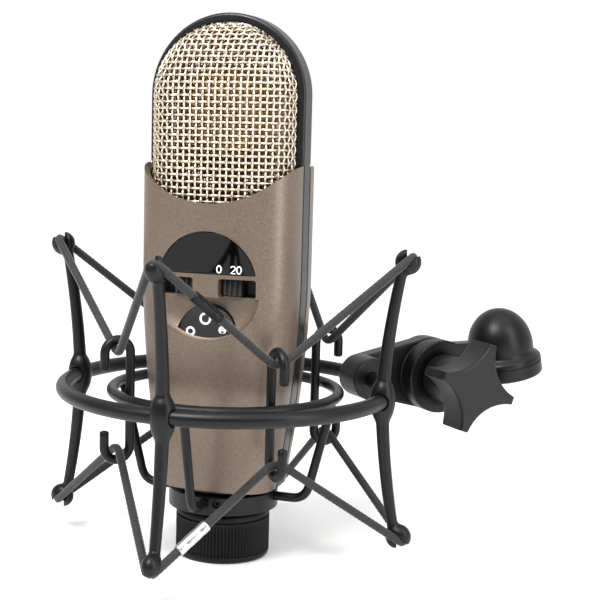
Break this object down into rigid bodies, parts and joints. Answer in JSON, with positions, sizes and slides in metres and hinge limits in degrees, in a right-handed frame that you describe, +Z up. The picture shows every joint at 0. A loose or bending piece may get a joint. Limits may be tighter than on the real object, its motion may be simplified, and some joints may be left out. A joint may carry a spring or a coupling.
{
  "type": "condenser microphone",
  "caption": "Side-address condenser microphone with bronze shells and woven grille, held by elastics in a spider shock mount with a swivelling stand adapter.",
  "frame": {"origin": "middle of the footprint of the whole object, on the surface it stands on", "axes": "+Z up along the microphone, -Y is the way the microphone faces, +X to its right as seen from the front"},
  "size_m": [0.1684, 0.1642, 0.1923],
  "materials": {
    "bronze_paint": "satin metallic taupe bronze paint",
    "black_lacquer": "semi-gloss black lacquer on zinc casting",
    "satin_black_metal": "satin black powder coat",
    "knob_plastic": "satin moulded black plastic",
    "nut_plastic": "matte knurled black plastic",
    "black_plastic": "fine moulded black plastic",
    "gloss_window": "gloss black plastic",
    "nickel_mesh": "satin nickel plated woven wire",
    "gold_film": "gold sputtered film",
    "brass": "turned brass",
    "steel": "bright zinc plated steel",
    "circuit_board": "green solder mask",
    "capacitor_sleeve": "shrink sleeve",
    "elastic": "braided black elastic",
    "friction_fibre": "pressed fibre"
  },
  "bodies": {
    "microphone": {"centre_frame": "black_lacquer", "front_shell": "bronze_paint", "rear_shell": "bronze_paint", "shell_screw_1": "steel", "shell_screw_2": "steel", "upper_window": "gloss_window", "pad_switch": "steel", "hpf_switch": "steel", "pattern_potentiometer": "steel", "front_grille": "nickel_mesh", "front_inner_mesh": "nickel_mesh", "rear_grille": "nickel_mesh", "rear_inner_mesh": "nickel_mesh", "capsule_body": "brass", "front_diaphragm": "gold_film", "rear_diaphragm": "gold_film", "capsule_saddle": "black_plastic", "circuit_board": "circuit_board", "coupling_capacitor_1": "capacitor_sleeve", "coupling_capacitor_2": "capacitor_sleeve", "tail_tube": "satin_black_metal", "xlr_pin_1": "brass", "xlr_pin_2": "brass", "xlr_pin_3": "brass", "xlr_insert": "black_plastic", "grub_screw_1": "steel", "grub_screw_2": "steel", "collar": "satin_black_metal", "cradle_leg_1": "satin_black_metal", "cradle_leg_2": "satin_black_metal", "cradle_leg_3": "satin_black_metal", "cradle_leg_4": "satin_black_metal", "hook_rod_1": "satin_black_metal", "hook_rod_2": "satin_black_metal", "hook_rod_3": "satin_black_metal", "hook_rod_4": "satin_black_metal", "inner_ring": "satin_black_metal"},
    "clamp_washer": {"nut_washer": "steel"},
    "clamp_nut": {"clamp_nut": "nut_plastic"},
    "pad_button": {"pad_slider": "black_plastic"},
    "filter_button": {"hpf_slider": "black_plastic"},
    "dial": {"pattern_dial": "black_plastic"},
    "outer_frame": {"outer_ring": "satin_black_metal", "spider_arm_1": "satin_black_metal", "spider_arm_2": "satin_black_metal", "spider_arm_3": "satin_black_metal", "spider_arm_4": "satin_black_metal", "elastic_upper": "elastic", "elastic_lower": "elastic", "ferrule_upper": "steel", "ferrule_lower": "steel", "swivel_arm": "satin_black_metal", "ring_clamp_screw": "steel", "friction_washer": "friction_fibre", "clutch_bolt": "steel"},
    "adapter": {"stand_adapter": "satin_black_metal", "thread_insert": "brass"},
    "knob": {"star_knob": "knob_plastic"}
  },
  "joints": [
    {"name": "suspension", "type": "slide", "parent": "microphone", "child": "outer_frame", "axis": [0, 0, 1], "range_m": [-0.004, 0.004], "stiffness_N_per_m": 2000, "springref_m": 0.00145, "deforming": ["elastic_upper", "elastic_lower"]},
    {"name": "adapter_swivel", "type": "hinge", "parent": "outer_frame", "child": "adapter", "pos_m": [0.04555, 0.04761, 0.06], "axis": [0.7071, -0.7071, 0], "range_deg": [-60, 60]},
    {"name": "knob_turn", "type": "hinge", "parent": "outer_frame", "child": "knob", "pos_m": [0.04555, 0.04761, 0.06], "axis": [0.7071, -0.7071, 0], "range_deg": [0, 360]},
    {"name": "pad_slide", "type": "slide", "parent": "microphone", "child": "pad_button", "axis": [1, 0, 0], "range_m": [0, 0.0049]},
    {"name": "filter_slide", "type": "slide", "parent": "microphone", "child": "filter_button", "axis": [-1, 0, 0], "range_m": [0, 0.0049]},
    {"name": "pattern_turn", "type": "hinge", "parent": "microphone", "child": "dial", "pos_m": [-0.01668, -0.03422, 0.0816], "axis": [0, -1, 0], "range_deg": [-144, 144]},
    {"name": "washer_drop", "type": "slide", "parent": "microphone", "child": "clamp_washer", "axis": [0, 0, -1], "range_m": [0, 0.0012]},
    {"name": "nut_turn", "type": "hinge", "parent": "clamp_washer", "child": "clamp_nut", "pos_m": [-0.01668, -0.01462, 0.00845], "axis": [0, 0, 1], "range_deg": [0, 288]}
  ],
  "couplings": [
    {"joint": "washer_drop", "follows": "nut_turn", "m_per_rad": 0.00023873}
  ]
}
